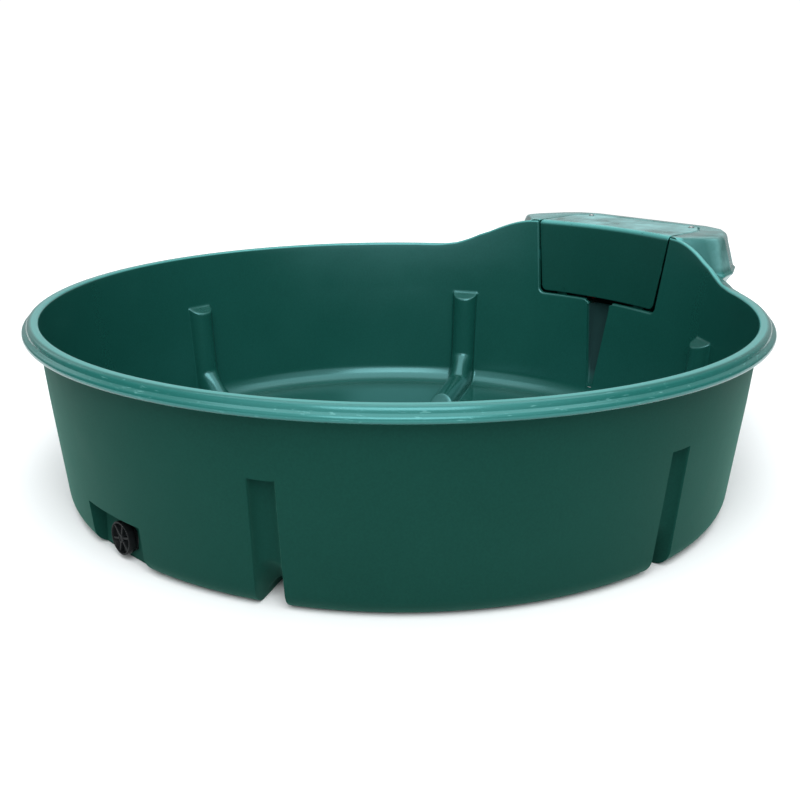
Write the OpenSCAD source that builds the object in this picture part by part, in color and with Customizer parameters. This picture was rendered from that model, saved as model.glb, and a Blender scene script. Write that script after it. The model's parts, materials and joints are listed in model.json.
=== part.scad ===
// Round livestock water trough with a raised service box, a lift-off cover,
// a ball float valve and a threaded drain. Millimetres, +Z up.
// Origin: centre of the underside of the base. The service box is towards +Y,
// the drain towards -Y, and the tub is symmetric about the YZ plane.

/* [Tub] */
// Outer radius over the rim's lip
rim_r = 1050; // [1000:5:1100]
// Height of the rim above the ground
rim_h = 525; // [500:5:550]
// Thickness of the moulded skin
skin = 7; // [6:1:10]
// Outer radius of the wall where it is carried down to the ground
base_r = 961.5; // [945:0.5:970]
// Outward lean of the wall, in mm per mm of height
wall_lean = 0.095; // [0.08:0.005:0.1]
// Radius of the rounded corner between base and wall, outside
base_round = 54; // [45:1:60]
// Radius of the cove between floor and wall, inside
cove_round = 62; // [50:1:70]

/* [Ribs] */
// Turn from the service box to the rear ribs, on either side
rib_rear = 31; // [29:0.5:33]
// Turn from the service box to the side ribs
rib_side = 92; // [90:0.5:94]
// Turn from the service box to the front ribs
rib_front = 151; // [148:0.5:153]
// Outside radius of a rib, where it stands inside the tub
rib_r = 44; // [40:1:48]
// Radius of the hollow in the back of a rib
notch_r = 33; // [28:1:34]
// Height of a rib's top at the wall
rib_top = 346; // [320:1:360]
// Height at which the hollow in the back of a rib ends
notch_top = 326; // [300:1:328]
// Distance from the tub's axis to the inner end of a rib on the floor
rib_end_r = 590; // [540:5:640]

/* [Service box] */
// Height of the flat top of the box
box_top = 632; // [620:1:640]
// Distance from the tub's axis to the rear edge of the flat top
box_rear = 1285; // [1270:1:1300]
// Height of the parting line that runs round the box
part_z = 512; // [505:1:515]
// Height of the underside of the box
box_under = 342; // [330:1:350]
// How far the skirt of the box stands out at the parting line
box_flare = 34; // [28:1:36]
// Half the width of the recess for the cover, at the front
seat_front = 276; // [265:1:280]
// Half the width of the recess for the cover, at the back
seat_back = 270; // [262:1:272]
// Distance from the tub's axis to the back of the recess
seat_rear = 1240; // [1232:1:1244]
// Height of the sill under the front of the cover
sill_z = 372; // [366:1:378]

/* [Cover] */
// Thickness of the cover
cover_t = 7; // [5:0.5:7]
// Height of the lower edge of the cover's front panel
apron_z = 384; // [380:1:390]
// Gap all round the cover
cover_gap = 4; // [2:0.5:6]
// Distance from the middle to each cover screw
screw_x = 212; // [205:1:215]
// Distance from the tub's axis to the cover screws
screw_y = 1208; // [1204:1:1210]

/* [Float valve] */
// Height of the valve's axis
valve_z = 548; // [540:1:552]
// Distance from the tub's axis to the valve's axis, along the box
valve_y = 1085; // [1080:1:1090]
// Outside radius of the half-inch pipe thread on the inlet
inlet_r = 10.475; // [10.475:0.001:10.475]
// Distance from the float arm's pivot to the middle of the float
arm_len = 270; // [255:1:275]
// Angle of the arm below level when the trough is empty
arm_droop = 27; // [24:0.5:28]
// Radius of the float
float_r = 51; // [45:1:52]

/* [Drain] */
// Height of the drain's axis
drain_z = 57; // [54:1:60]
// Outside radius of the two-inch threaded spigot
spigot_r = 29.8; // [29.8:0.1:29.8]
// Radius of the plug's head
plug_r = 44; // [40:1:45]
// Half the width of the recess round the drain
bay_half = 118; // [110:1:120]
// Height of the recess round the drain
bay_top = 126; // [120:1:130]

/* [Hidden] */
$fn = 96;
ROUND = 180;                 // facets of the largest rounds
EPS = 1;                     // overrun of a cut past the face it leaves
BIG = 3000;                  // larger than the trough
lip_z = rim_h - 28;          // height of the outermost edge of the rim
lean_deg = atan(wall_lean);  // lean of the wall
rib_turns = [for (side = [-1, 1], turn = [rib_rear, rib_side, rib_front]) side * turn];
flat_r = base_r - base_round;          // radius of the flat underside
floor_z = skin;                        // height of the floor
inner_r = base_r - skin;               // inner wall carried down to the ground
cove_r = inner_r - cove_round + 3;     // where the cove leaves the floor
rib_mid = base_r - skin / 2;           // middle of the wall at the ground
rib_floor_z = 10;                      // height of the axis of a rib on the floor
shelf_t = 14;                          // thickness of the flat top of the box
seat_z = box_top - cover_t;            // level the cover rests on
front_t = 10;                          // thickness of the box's front wall
box_floor = box_under + 10;            // floor of the service box
shoulder_w = 335;                      // width over which the wall rises to the box
bead_h = 103;                          // how far the wall rises above the rim
bay_y = -920;                          // outer face of the flat panel at the drain
bay_skin = 12;                         // thickness of that panel
pad_x = -405;                          // outer face of the valve's mounting pad
pad_t = 12;                            // thickness of the pad
pad_half = 36;                         // half the side of the pad
seal_t = 2;                            // thickness of the rubber washers
pivot_x = -330;                        // float arm's pivot
pivot_drop = 20;                       // pivot below the valve's axis
pin_r = 2.5;                           // pivot pin
fit = 0.05;                            // radial clearance of a running fit
piston_r = 10;                         // piston of the valve
rod_r = 4;                             // rod of the float arm
m8_r = 4;                              // cover screw
insert_r = 6.5;                        // threaded insert in the box
bore_r = 25;                           // bore of the drain
plug_face = bay_y - 28;                // outer face of the drain plug
plug_dish = 7;                         // depth of the dish in the plug's face

ear_corner = [440, 1035];              // where the rim's lip meets the box
ear_a = 44;                            // angle from the box at which the lip leaves the circle
ledge = 14;                            // width of the ledge under the cover
seat_corner = [45, 75];                // size of the bevelled rear corners of the cover
opening_corner = [56, 55];             // the same, on the opening under the cover
apron_lean = 31;                       // how much narrower the opening is at its sill
apron_gap = 6;                         // gap at the sides of the cover's front panel, low down
slot_half = 58;                        // half the width of the slot in the sill
slot_foot = 44;                        // half the width of the slot at the box's floor
bend_r = 880;                          // where a rib's slanting run starts, from the axis
bend_lean = 44;                        // angle of the slanting run from upright
bend_len = 120;                        // length of the slanting run
top_lean = 24;                         // slope of a rib's top
toe_lean = 60;                         // slope of a rib's inner end
tongue_x = 165;                        // middle of each tongue on the cover
tongue_w = 40;                         // width of a tongue
web_x = 150;                           // place of each web inside the cover
web_t = 6;                             // thickness of a web
head_h = 4.4;                          // height of a cover screw's head
washer_t = 1.6;                        // thickness of a cover screw's washer
insert_len = 25;                       // length of a threaded insert
boss_r = 15;                           // boss round a threaded insert

flange_x = pad_x + pad_t + seal_t;     // outer face of the valve's flange
nozzle_x = flange_x + 16;              // inlet side of the nozzle
nozzle_len = 8;                        // length of the nozzle
spout_x = nozzle_x + nozzle_len + 8;   // axis of the valve's spout
travel = pivot_drop * (arm_droop - 11) * PI / 180;   // stroke of the piston
washer_x = nozzle_x + nozzle_len + travel + 0.3;     // face of the washer when open
piston_x = washer_x + 3;               // inlet end of the piston
body_end = pivot_x + 22;               // open end of the body
rod_end = arm_len - 12;                // end of the arm's rod, inside the float
nut_x = arm_len - float_r - 13;        // nut that locks the float
body_face = bay_y - seal_t - 5;        // outer face of the drain body's flange
spigot_in = bay_y + 32;                // inner end of the drain's spigot

GREEN = [0.05, 0.27, 0.22];
BRASS = [0.72, 0.56, 0.27];
RUBBER = [0.06, 0.06, 0.06];
BLACK = [0.08, 0.08, 0.09];
STEEL = [0.7, 0.71, 0.72];

function arc(cx, cz, r, from, to, n = 8) =
    [for (i = [0:n]) let (a = from + (to - from) * i / n) [cx + r * cos(a), cz + r * sin(a)]];

// Radius of the inner face of the wall at height z
function wall_in(z) = inner_r + wall_lean * z;

// Height of the wall's top edge at a distance x from the middle of the box
function shoulder_z(x) =
    let (t = min(max((abs(x) - seat_front - 9) / shoulder_w, 0), 1))
    rim_h + bead_h * (1 + cos(180 * t)) / 2;

// Right half of the outline of the box's flat top, from the rear to inside the tub
half_box = [
    [230, box_rear], [299, box_rear - 28], [343, box_rear - 77],
    [391, box_rear - 173], [400, box_rear - 221], [225, box_rear - 386]
];

function mirrored(points) =
    concat(points, [for (i = [len(points) - 1:-1:0]) [-points[i][0], points[i][1]]]);

// ---------------------------------------------------------------- placing

// Turns the first axis of a part so that it points away from the box's axis by a
module around(a) {
    rotate([0, 0, 90 + a]) children();
}

// A rod along X
module rod_x(r, x0, x1) {
    translate([x0, 0, 0]) rotate([0, 90, 0]) cylinder(r = r, h = x1 - x0);
}

// A rod along Y
module rod_y(r, y0, y1) {
    translate([0, y1, 0]) rotate([90, 0, 0]) cylinder(r = r, h = y1 - y0);
}

// A plate with an upright outline, from y0 to y1
module upright(y0, y1) {
    translate([0, y1, 0]) rotate([90, 0, 0]) linear_extrude(y1 - y0) children();
}

// The space inside a cone that follows the inner face of the wall, grown by g
module wall_cone(g, z0, z1) {
    translate([0, 0, z0])
        cylinder(r1 = wall_in(z0) + g, r2 = wall_in(z1) + g, h = z1 - z0, $fn = ROUND);
}

// ---------------------------------------------------------------- tank shell

// Outline of the tub and its rim, turned round the axis
module tub_outside() {
    rotate_extrude($fn = ROUND)
        polygon(concat(
            [[0, 0]],
            arc(flat_r, base_round, base_round, -90, -lean_deg),
            [
                [base_r + wall_lean * (lip_z - 11), lip_z - 11],
                [rim_r - 8, lip_z - 11],
                [rim_r - 2, lip_z - 7],
                [rim_r, lip_z],
                [rim_r - 3, lip_z + 7],
                [rim_r - 11, lip_z + 10],
                [rim_r - 14, lip_z + 13],
                [rim_r - 12, rim_h - 8],
                [rim_r - 18, rim_h - 2],
                [rim_r - 28, rim_h],
                [0, rim_h]
            ]));
}

// The space the water fills, carried up past the top of the box
module tub_inside() {
    top = box_top + 40;
    rotate_extrude($fn = ROUND)
        polygon(concat(
            [[0, floor_z]],
            arc(cove_r, floor_z + cove_round, cove_round, -90, -lean_deg),
            [[wall_in(top), top], [0, top]]));
}

// One rib: upright on the wall, slanting through the cove, then along the floor
module rib_run(r, top, from_r) {
    translate([rib_mid, 0, -EPS]) rotate([0, lean_deg, 0]) cylinder(r = r, h = top + EPS);
    translate([bend_r, 0, rib_floor_z]) rotate([0, bend_lean, 0]) cylinder(r = r - 0.5, h = bend_len);
    translate([0, 0, rib_floor_z]) rod_x(r - 1, from_r, rib_mid);
}

// The ribs, cut off by slanting planes at their tops and at their ends on the floor
module ribs() {
    for (turn = rib_turns)
        around(turn)
            difference() {
                rib_run(rib_r, rib_top + 20, rib_end_r);
                translate([wall_in(rib_top), 0, rib_top]) rotate([0, -top_lean, 0])
                    translate([-200, -100, 0]) cube([300, 200, 100]);
                translate([rib_end_r, 0, floor_z]) rotate([0, -toe_lean, 0])
                    translate([0, -100, 0]) cube([200, 200, 200]);
            }
}

// The hollows in the backs of the ribs, open outwards and downwards
module notches() {
    for (turn = rib_turns)
        around(turn) {
            rib_run(notch_r, notch_top, rib_end_r + 40);
            translate([rib_mid, 0, -EPS]) rotate([0, lean_deg, 0])
                translate([0, -notch_r, 0]) cube([100, 2 * notch_r, notch_top + EPS]);
        }
}

module box_outline() {
    polygon(mirrored(half_box));
}

// A thin slice of the box at height z, grown by g all round
module box_slice(z, g) {
    translate([0, 0, z]) linear_extrude(0.01) offset(delta = g) box_outline();
}

// The outside of the box: drafted down to the parting line, and tucked in below it
module box_outside() {
    hull() {
        box_slice(box_top - 0.01, 0);
        box_slice(part_z + 8, box_flare);
    }
    hull() {
        box_slice(part_z + 8, box_flare);
        box_slice(part_z, box_flare + 9);
        box_slice(part_z - 17, box_flare - 4);
    }
    hull() {
        box_slice(part_z - 17, box_flare - 6);
        box_slice(box_under, box_flare - 24);
    }
}

// The hollow of the box, behind its front wall
module box_inside() {
    difference() {
        union() {
            hull() {
                box_slice(box_top - shelf_t, -11);
                box_slice(part_z, box_flare - 11);
            }
            hull() {
                box_slice(part_z, box_flare - 11);
                box_slice(box_floor, box_flare - 33);
            }
        }
        wall_cone(front_t, 300, 660);
    }
}

// The raised wall that sweeps up from the rim to the box
module shoulders() {
    steps = 16;
    reach = seat_front + 9 + shoulder_w;
    half = [for (i = [0:steps]) let (x = reach * i / steps) [x, shoulder_z(x)]];
    intersection() {
        upright(600, BIG) polygon(concat(
            [[-reach, rim_h - 30]],
            [for (i = [steps:-1:1]) [-half[i][0], half[i][1]]],
            half,
            [[reach, rim_h - 30]]));
        wall_cone(16, rim_h - 30, box_top);
    }
}

// The rim where it runs out to the corners of the box
module rim_ears() {
    for (side = [-1, 1])
        translate([0, 0, lip_z - 11]) linear_extrude(rim_h - lip_z + 9)
            polygon([
                [side * ear_corner[0], ear_corner[1]],
                [side * rim_r * sin(ear_a), rim_r * cos(ear_a)],
                [side * 600, 700],
                [side * 380, 900]
            ]);
}

// A tapering channel down the wall under the box; grow thickens it
module spillway(grow) {
    top = box_floor;
    foot = 45;
    half = 37;
    translate([wall_in(foot), 0, foot]) rotate([0, lean_deg, 0])
        cylinder(r1 = 1 + grow, r2 = half + grow, h = top - foot);
}

// The opening in the box's front wall and the slot through its sill
module front_opening() {
    slant = seat_front - apron_lean;
    upright(880, 1032) polygon([
        [-slant, sill_z], [slant, sill_z],
        [seat_front, seat_z], [seat_front, BIG / 4],
        [-seat_front, BIG / 4], [-seat_front, seat_z]
    ]);
    upright(960, 1040) polygon([
        [-slot_foot, box_floor], [slot_foot, box_floor],
        [slot_foot + 2, box_floor + 10], [slot_half, box_floor + 14],
        [slot_half, sill_z + EPS], [-slot_half, sill_z + EPS],
        [-slot_half, box_floor + 14], [-slot_foot - 2, box_floor + 10]
    ]);
}

// The opening in the flat top, inset from the cover's seat by a ledge
module top_opening() {
    translate([0, 0, box_top - shelf_t - EPS]) linear_extrude(shelf_t + 2 * EPS)
        polygon(mirrored([
            [seat_front - ledge, 900], [seat_front - ledge, 1000],
            [seat_back - ledge, seat_rear - 55 - opening_corner[1]],
            [seat_back - ledge - opening_corner[0], seat_rear - 55]
        ]));
    translate([0, 0, seat_z]) linear_extrude(BIG / 4) seat_outline(0);
}

// Outline of the cover's seat, shrunk by gap
module seat_outline(gap) {
    polygon(mirrored([
        [seat_front - gap, 900],
        [seat_front - gap, 965],
        [seat_back - gap, seat_rear - seat_corner[1] - 0.3 * gap],
        [seat_back - seat_corner[0] - 0.55 * gap, seat_rear - gap]
    ]));
}

// The recess round the drain
module drain_bay() {
    translate([-bay_half, bay_y - 200, -EPS]) cube([2 * bay_half, 200, bay_top + EPS]);
}

module tank_shell() {
    color(GREEN)
    difference() {
        union() {
            tub_outside();
            box_outside();
            shoulders();
            rim_ears();
            around(0) spillway(9);
        }
        difference() {
            tub_inside();
            ribs();
            translate([-bay_half - bay_skin, bay_y - 60, 0])
                cube([2 * (bay_half + bay_skin), 60 + bay_skin, bay_top + bay_skin]);
        }
        difference() {
            box_inside();
            // Bosses for the cover screws and the pad for the valve
            for (side = [-1, 1])
                translate([side * screw_x, screw_y, box_top - 50]) cylinder(r = boss_r, h = 50);
            translate([pad_x, valve_y - pad_half - 12, valve_z - pad_half - 12])
                translate([-60, 0, 0])
                    cube([60 + pad_t, 2 * pad_half + 24, 2 * pad_half + 24]);
        }
        top_opening();
        front_opening();
        around(0) spillway(0);
        notches();
        drain_bay();
        // Flat outside the valve's pad, and the holes for the inlet, drain and inserts
        translate([pad_x - 60, valve_y - pad_half, valve_z - pad_half])
            cube([60, 2 * pad_half, 2 * pad_half]);
        translate([0, valve_y, valve_z]) rod_x(inlet_r + 0.5, pad_x - EPS, pad_x + pad_t + EPS);
        translate([0, 0, drain_z]) rod_y(spigot_r + 0.4, bay_y - EPS, bay_y + bay_skin + EPS);
        for (side = [-1, 1])
            translate([side * screw_x, screw_y, seat_z - insert_len])
                cylinder(r = insert_r, h = insert_len + EPS);
    }
}

// ---------------------------------------------------------------- cover

module service_cover() {
    slant = seat_front - apron_lean - apron_gap;
    color(GREEN)
    difference() {
        union() {
            // Flat top
            difference() {
                translate([0, 0, seat_z]) linear_extrude(cover_t) seat_outline(cover_gap);
                wall_cone(0, 600, 660);
            }
            // Front panel, curved to carry on the wall of the tub
            intersection() {
                difference() {
                    wall_cone(cover_t + 1, 340, box_top);
                    wall_cone(0, 339, 660);
                }
                upright(880, BIG) polygon([
                    [-slant, apron_z], [slant, apron_z],
                    [seat_front - cover_gap, seat_z], [seat_front - cover_gap, box_top],
                    [-seat_front + cover_gap, box_top], [-seat_front + cover_gap, seat_z]
                ]);
            }
            // Two tongues that hang behind the sill
            for (side = [-1, 1])
                intersection() {
                    difference() {
                        wall_cone(front_t + 9, 340, 640);
                        wall_cone(front_t + 3, 339, 660);
                    }
                    translate([side * tongue_x - tongue_w / 2, 900, sill_z - 10])
                        cube([tongue_w, 200, 40]);
                }
            for (side = [-1, 1])
                intersection() {
                    difference() {
                        wall_cone(front_t + 9, 340, 640);
                        wall_cone(3, 339, 660);
                    }
                    translate([side * tongue_x - tongue_w / 2, 900, apron_z + 4])
                        cube([tongue_w, 200, 14]);
                }
            // Webs between the flat top and the front panel
            for (side = [-1, 1])
                difference() {
                    translate([side * web_x - web_t / 2, 980, seat_z - 60]) cube([web_t, 90, 60 + EPS]);
                    wall_cone(3, 500, 660);
                    translate([side * web_x, 1075, seat_z - 65]) rotate([45, 0, 0])
                        cube([20, 100, 100], center = true);
                }
        }
        for (side = [-1, 1])
            translate([side * screw_x, screw_y, seat_z - EPS])
                cylinder(r = m8_r + 0.3, h = cover_t + 2 * EPS);
    }
}

// A button-head screw with a hexagon socket
module cover_screw(side) {
    translate([side * screw_x, screw_y, box_top + washer_t])
        difference() {
            union() {
                intersection() {
                    cylinder(r = 7.6, h = head_h);
                    translate([0, 0, -6.2]) sphere(r = 10.6);
                }
                translate([0, 0, -washer_t - 26]) cylinder(r = m8_r, h = washer_t + 26 + EPS);
            }
            translate([0, 0, head_h - 2.6]) cylinder(r = 2.9, h = 5, $fn = 6);
        }
}

module cover_screw_left() {
    color(STEEL) cover_screw(-1);
}

module cover_screw_right() {
    color(STEEL) cover_screw(1);
}

module cover_washers() {
    color(STEEL)
    for (side = [-1, 1])
        translate([side * screw_x, screw_y, box_top])
            difference() {
                cylinder(r = 10.5, h = washer_t);
                translate([0, 0, -EPS]) cylinder(r = m8_r + 0.2, h = 4);
            }
}

module cover_inserts() {
    color(BRASS)
    for (side = [-1, 1])
        translate([side * screw_x, screw_y, seat_z - insert_len])
            difference() {
                cylinder(r = insert_r, h = insert_len);
                translate([0, 0, -EPS]) cylinder(r = m8_r + fit, h = insert_len + 2 * EPS);
            }
}

// ---------------------------------------------------------------- float valve

module at_valve() {
    translate([0, valve_y, valve_z]) children();
}

module valve_body() {
    color(BRASS)
    at_valve()
    difference() {
        union() {
            rod_x(inlet_r, pad_x - 36, pad_x - 8);
            rod_x(inlet_r - 0.3, pad_x - 9, flange_x + EPS);
            translate([flange_x, 0, 0]) rotate([0, 90, 0]) cylinder(r = 20, h = 7, $fn = 6);
            rod_x(15, flange_x + 6, body_end);
            // Spout
            translate([spout_x, 0, -36]) cylinder(r = 8.5, h = 30);
            // Ears that hold the pivot pin
            for (side = [-1, 1])
                translate([pivot_x - 8, side * 9 - 2.5, -pivot_drop - 8]) cube([16, 5, 20]);
        }
        rod_x(6, pad_x - 37, nozzle_x + EPS);
        rod_x(piston_r + fit, nozzle_x, body_end + EPS);
        translate([spout_x, 0, -37]) cylinder(r = 5.5, h = 32);
        // Slot for the lever
        translate([pivot_x - 13, -4.5, -24]) cube([26, 9, 20]);
        translate([pivot_x, 0, -pivot_drop]) rod_y(pin_r, -13, 13);
    }
}

module valve_seat() {
    color([0.9, 0.9, 0.86])
    at_valve()
    difference() {
        union() {
            rod_x(piston_r, nozzle_x, nozzle_x + 5);
            rod_x(5, nozzle_x + 4, nozzle_x + nozzle_len);
        }
        rod_x(2.5, nozzle_x - EPS, nozzle_x + nozzle_len + EPS);
    }
}

module valve_piston() {
    color(BRASS)
    at_valve()
    difference() {
        rod_x(piston_r, piston_x, pivot_x + 14);
        // Slot that the lever's end sits in
        translate([pivot_x - 5.2, -4.2, -piston_r - EPS]) cube([10.4, 8.4, 17]);
        rod_x(3, piston_x - EPS, piston_x + 5);
    }
}

module piston_washer() {
    color(RUBBER)
    at_valve() {
        rod_x(8.5, washer_x, piston_x);
        rod_x(2.9, piston_x - EPS, piston_x + 4);
    }
}

module piston_cap() {
    color(BRASS)
    at_valve()
    difference() {
        union() {
            rod_x(18, body_end - 12, body_end + 4);
            translate([body_end + 3, 0, 0]) rotate([0, 90, 0]) cylinder(r = 9, h = 5, $fn = 6);
        }
        rod_x(15, body_end - 13, body_end);
        // Clears the lever
        translate([body_end - 20, -6, -30]) cube([21, 12, 20]);
    }
}

// Everything on the arm is drawn with the arm level and turned down about its pivot
module at_pivot() {
    translate([pivot_x, valve_y, valve_z - pivot_drop]) rotate([0, arm_droop, 0]) children();
}

module float_arm() {
    color(BRASS)
    difference() {
        union() {
            at_pivot() {
                rod_y(6.5, -4, 4);
                rod_x(rod_r, 4, rod_end);
                // Shank and shoulder that the rod grows from
                translate([0, -3.5, -4.5]) cube([24, 7, 9]);
            }
            // Short end that moves the piston
            translate([pivot_x, valve_y, valve_z - pivot_drop]) {
                translate([-2, -3.5, 0]) cube([4, 7, pivot_drop]);
                translate([0, 0, pivot_drop]) rod_y(5, -3.5, 3.5);
            }
        }
        at_pivot() rod_y(pin_r + fit, -6, 6);
    }
}

module pivot_pin() {
    color(STEEL)
    translate([pivot_x, valve_y, valve_z - pivot_drop]) {
        rod_y(pin_r, -14.5, 15.5);
        rod_y(4.2, -16, -14);
    }
}

module pin_clip() {
    color(STEEL)
    translate([pivot_x, valve_y + 14.9, valve_z - pivot_drop])
        difference() {
            rod_y(5, -1.6, -0.6);
            rod_y(pin_r, -3, 1);
        }
}

module float_ball() {
    color([0.75, 0.12, 0.08])
    at_pivot()
    difference() {
        union() {
            translate([arm_len, 0, 0]) sphere(r = float_r);
            rod_x(9, arm_len - float_r - 6, arm_len - float_r + 10);
        }
        rod_x(rod_r + fit, arm_len - float_r - 7, rod_end + 1);
    }
}

module float_nut() {
    color(BRASS)
    at_pivot()
    difference() {
        translate([nut_x, 0, 0]) rotate([0, 90, 0]) cylinder(r = 8, h = 6.5, $fn = 6);
        rod_x(rod_r, nut_x - EPS, nut_x + 8);
    }
}

module inlet_seal() {
    color(RUBBER)
    at_valve()
    difference() {
        rod_x(19, pad_x + pad_t, flange_x);
        rod_x(inlet_r, pad_x, flange_x + EPS);
    }
}

module inlet_backnut() {
    color(BRASS)
    at_valve()
    difference() {
        union() {
            translate([pad_x - 8, 0, 0]) rotate([0, 90, 0]) cylinder(r = 18, h = 6, $fn = 6);
            rod_x(19, pad_x - 2, pad_x);
        }
        rod_x(inlet_r, pad_x - 9, pad_x + EPS);
    }
}

// ---------------------------------------------------------------- drain

module at_drain() {
    translate([0, 0, drain_z]) children();
}

module drain_body() {
    color(BLACK)
    at_drain()
    difference() {
        union() {
            rod_y(spigot_r, body_face, spigot_in);
            translate([0, bay_y - seal_t, 0]) rotate([90, 30, 0]) cylinder(r = 47, h = 5, $fn = 6);
        }
        rod_y(bore_r, body_face - EPS, spigot_in + EPS);
    }
}

module drain_gasket() {
    color(RUBBER)
    at_drain()
    difference() {
        rod_y(41, bay_y - seal_t, bay_y);
        rod_y(spigot_r, bay_y - 5, bay_y + 1);
    }
}

module drain_backnut() {
    color(BLACK)
    at_drain()
    difference() {
        union() {
            translate([0, bay_y + bay_skin + 14, 0]) rotate([90, 30, 0])
                cylinder(r = 45, h = 12, $fn = 6);
            rod_y(44, bay_y + bay_skin, bay_y + bay_skin + 3);
        }
        rod_y(spigot_r, bay_y, bay_y + 40);
    }
}

module drain_plug() {
    color(BLACK)
    at_drain()
    difference() {
        union() {
            difference() {
                rod_y(plug_r, plug_face, body_face - seal_t);
                rod_y(plug_r - 6, plug_face - EPS, plug_face + plug_dish);
            }
            rod_y(bore_r - fit, body_face - seal_t - EPS, spigot_in - 5);
            // Grip cross and ring in the dished face
            for (a = [0, 90])
                rotate([0, a, 0])
                    translate([-plug_r + 4, plug_face + 1, -4.5]) cube([2 * plug_r - 8, plug_dish, 9]);
            rod_y(15, plug_face + 1, plug_face + plug_dish + EPS);
        }
        rod_y(9, plug_face - EPS, plug_face + plug_dish);
        rod_y(bore_r - 6, body_face + 4, spigot_in);
    }
}

module plug_seal() {
    color(RUBBER)
    at_drain()
    difference() {
        rod_y(34, body_face - seal_t, body_face);
        rod_y(bore_r + 0.6, body_face - 5, body_face + 1);
    }
}

tank_shell();
service_cover();
cover_screw_left();
cover_screw_right();
cover_washers();
cover_inserts();
valve_body();
valve_seat();
valve_piston();
piston_washer();
piston_cap();
float_arm();
pivot_pin();
pin_clip();
float_ball();
float_nut();
inlet_seal();
inlet_backnut();
drain_body();
drain_gasket();
drain_backnut();
drain_plug();
plug_seal();
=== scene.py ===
import json
import math

import bmesh
import bpy
import numpy as np
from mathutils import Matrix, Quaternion, Vector


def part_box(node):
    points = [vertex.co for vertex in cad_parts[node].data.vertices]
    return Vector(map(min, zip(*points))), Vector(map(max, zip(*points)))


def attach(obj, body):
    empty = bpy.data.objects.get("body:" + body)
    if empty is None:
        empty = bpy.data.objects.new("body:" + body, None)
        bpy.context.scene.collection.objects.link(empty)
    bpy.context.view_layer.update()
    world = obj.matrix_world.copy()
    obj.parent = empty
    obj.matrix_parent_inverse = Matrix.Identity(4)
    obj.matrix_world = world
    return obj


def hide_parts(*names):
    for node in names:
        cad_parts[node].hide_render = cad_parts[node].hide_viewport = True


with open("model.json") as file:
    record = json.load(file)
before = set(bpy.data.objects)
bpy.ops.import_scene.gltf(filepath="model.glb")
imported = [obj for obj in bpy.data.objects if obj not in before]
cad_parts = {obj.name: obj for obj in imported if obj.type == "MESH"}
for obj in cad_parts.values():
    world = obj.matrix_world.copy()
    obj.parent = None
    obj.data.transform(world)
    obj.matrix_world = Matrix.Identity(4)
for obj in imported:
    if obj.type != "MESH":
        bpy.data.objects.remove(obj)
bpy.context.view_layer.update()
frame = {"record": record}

# Lengths are millimetres in the shapes below and become metres where a mesh is made.
MM = 0.001
SHARP_ANGLE = 32  # degrees between faces above which an edge stays sharp

# ---- Tub: every profile point is (distance from the axis, height)
TANK_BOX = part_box("tank_shell")
RIM_R = min(TANK_BOX[1][0], -TANK_BOX[0][1]) / MM  # outermost edge of the rim
RIM_H = 525.0  # height of the rim
FLOOR_Z = 7.0  # height of the floor, and thickness of the skin
LEAN = 0.095  # outward lean of the wall per mm of height
WALL_IN = 954.5  # inner face of the wall carried down to the ground
WALL_OUT = 961.5  # outer face, the same
COVE = (895.5, 69.0, 62.0)  # centre and radius of the cove inside
CORNER = (907.5, 54.0, 54.0)  # centre and radius of the corner outside
REF_R = 960.0  # radius at which widths round the wall are measured

# ---- Ribs
RIB_TURNS = (31, 92, 151, 209, 268, 329)  # degrees from the service box
RIB_HALF = 44.0  # half the width of a rib
RIB_FOOT = 6.0  # radius where a rib's side meets the wall
RIB_CREST = 914.0  # inner face of a rib carried down to the ground
RIB_LOW = 54.0  # height of a rib on the floor
RIB_TOP = 346.0  # top of a rib at the wall
RIB_TOP_IN = 327.7  # top of a rib at its crest
RIB_BLEND = 13.0  # height of the blend between a rib's top and the wall
RIB_END = 590.0  # inner end of a rib on the floor
NOTCH_HALF = 33.0  # half the width of the hollow behind a rib
NOTCH_BACK = 925.0  # back of that hollow carried down to the ground
NOTCH_LOW = 42.0  # height of the channel under the floor
NOTCH_TOP = 328.5  # top of the hollow
NOTCH_END = 630.0  # inner end of the channel under the floor
NOTCH_TAPER = 0.045  # share by which it is wider at its foot, and narrower at its top

# ---- Drain recess
BAY_HALF = 118.0  # half the width of the recess outside
BAY_TOP = 126.0  # height of its top
BAY_Y = 920.0  # distance from the axis to the recess's flat back
PAD_Y = 908.0  # the same to the panel's inner face
PAD_HALF = 132.0  # half the width of that panel inside
PAD_TOP = 138.0  # height of its top
DRAIN_Z = 57.0  # height of the drain's axis
DRAIN_R = 30.2  # radius of the hole for the drain body

# ---- Service box
BOX_TOP = 632.0  # top of the box and its cover
BOX_FLOOR = 352.0  # floor of the box inside
BOX_REAR = 1285.0  # distance from the axis to the box's rear face
# Corners of the box's right half in plan, from the rear face to the tub's wall.
BOX_HALF = [(230, BOX_REAR), (299, 1257), (343, 1208), (391, 1112), (400, 1064), (225, 899)]
SHOULDER_X = 285.0  # where the raised wall starts to sweep down
SHOULDER_W = 335.0  # width of that sweep
SHOULDER_H = 103.0  # height of that sweep
WALL_T = 18.0  # thickness of the raised wall
RISE_R = 1010.0  # radius at which that sweep is measured
EAR_TURN = 44.0  # where the lip leaves the circle, degrees from the box
EAR_END = 23.0  # where the lip reaches the box
SEAT_Z = 625.0  # ledge that the cover rests on
SILL_Z = 372.0  # lower edge of the front opening
SPILL_LOW = 45.0  # where the channel below the spillway runs out
SPILL_HALF = 7.0  # half its width there
SPILL_GROW = 37 / (BOX_FLOOR - SPILL_LOW)  # growth of that half width per mm of height
SPILL_DEEPEN = 46 / (BOX_FLOOR - SPILL_LOW)  # growth of its depth per mm of height
OPEN_SILL = 245.0  # half the width of the front opening at its sill
OPEN_TOP = 276.0  # the same at the top of the box
CORNER_R = 20.0  # its lower corners
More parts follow.
